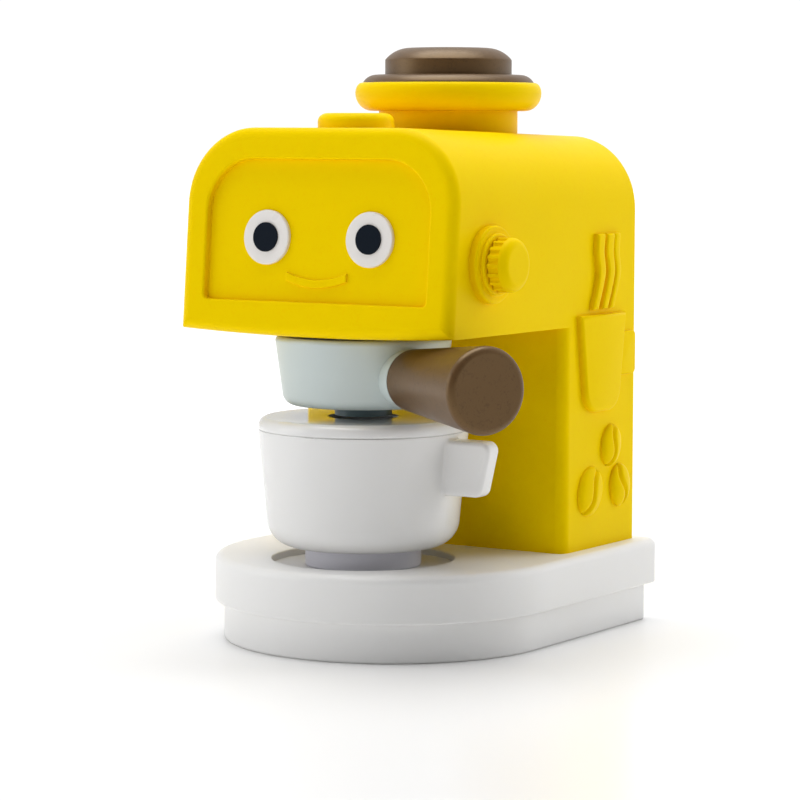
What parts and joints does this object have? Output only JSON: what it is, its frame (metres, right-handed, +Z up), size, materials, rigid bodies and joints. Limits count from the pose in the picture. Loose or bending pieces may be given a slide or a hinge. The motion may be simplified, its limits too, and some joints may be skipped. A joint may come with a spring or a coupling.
{
  "type": "toy coffee maker",
  "caption": "Toy espresso machine with a face panel, twist-in portafilter, slide-out cup, side knob, roof button and a hopper with a lift-off lid.",
  "frame": {"origin": "on the underside of the base, under the middle of the cup and the group", "axes": "+Z up, -Y towards the front with the face, +X to the side with the knob"},
  "size_m": [0.1293, 0.1396, 0.19],
  "materials": {
    "yellow_plastic": "satin moulded plastic",
    "white_plastic": "satin moulded plastic",
    "pale_plastic": "satin moulded plastic",
    "slate_plastic": "satin moulded plastic",
    "brown_plastic": "satin moulded plastic",
    "grey_plastic": "satin moulded plastic",
    "eye_white_plastic": "glossy inset",
    "pupil_plastic": "glossy inset",
    "inner_plastic": "plain moulded nylon",
    "steel": "zinc plated"
  },
  "bodies": {
    "body": {"base_deck": "white_plastic", "base_plinth": "white_plastic", "base_screws": "steel", "column_screws": "steel", "cup_stand": "grey_plastic", "stand_screw": "steel", "body_housing": "yellow_plastic", "side_picture": "yellow_plastic", "rear_cover": "yellow_plastic", "rear_cover_screws": "steel", "face_panel": "yellow_plastic", "eye_whites": "eye_white_plastic", "pupils": "pupil_plastic", "group_ring": "grey_plastic", "group_screws": "steel", "hopper": "yellow_plastic", "hopper_nut": "inner_plastic", "button_guide": "inner_plastic", "button_guide_screws": "steel", "button_spring": "steel", "knob_escutcheon": "yellow_plastic", "click_leaf": "steel", "click_leaf_screw": "steel"},
    "portafilter": {"portafilter_bowl": "pale_plastic", "portafilter_neck": "pale_plastic", "handle_core": "inner_plastic", "handle_grip": "brown_plastic", "spout": "slate_plastic"},
    "cup": {"cup_shell": "white_plastic", "cup_lid": "white_plastic"},
    "lid": {"hopper_lid": "brown_plastic"},
    "button": {"power_button": "yellow_plastic"},
    "knob": {"brew_knob": "yellow_plastic", "click_wheel": "inner_plastic", "click_wheel_screw": "steel"}
  },
  "joints": [
    {"name": "portafilter_twist", "type": "hinge", "parent": "body", "child": "portafilter", "pos_m": [0, 0, 0.1034], "axis": [0, 0, 1], "range_deg": [-63, 17]},
    {"name": "cup_slide", "type": "slide", "parent": "body", "child": "cup", "axis": [0, -1, 0], "range_m": [0, 0.1]},
    {"name": "lid_lift", "type": "slide", "parent": "body", "child": "lid", "axis": [0, 0, 1], "range_m": [0, 0.06]},
    {"name": "button_press", "type": "slide", "parent": "body", "child": "button", "axis": [0, 0, -1], "range_m": [0, 0.0025], "stiffness_N_per_m": 300, "springref_m": -0.002, "deforming": ["button_spring"]},
    {"name": "knob_turn", "type": "hinge", "parent": "body", "child": "knob", "pos_m": [0.0506, -0.007, 0.1224], "axis": [1, 0, 0], "continuous": true}
  ]
}
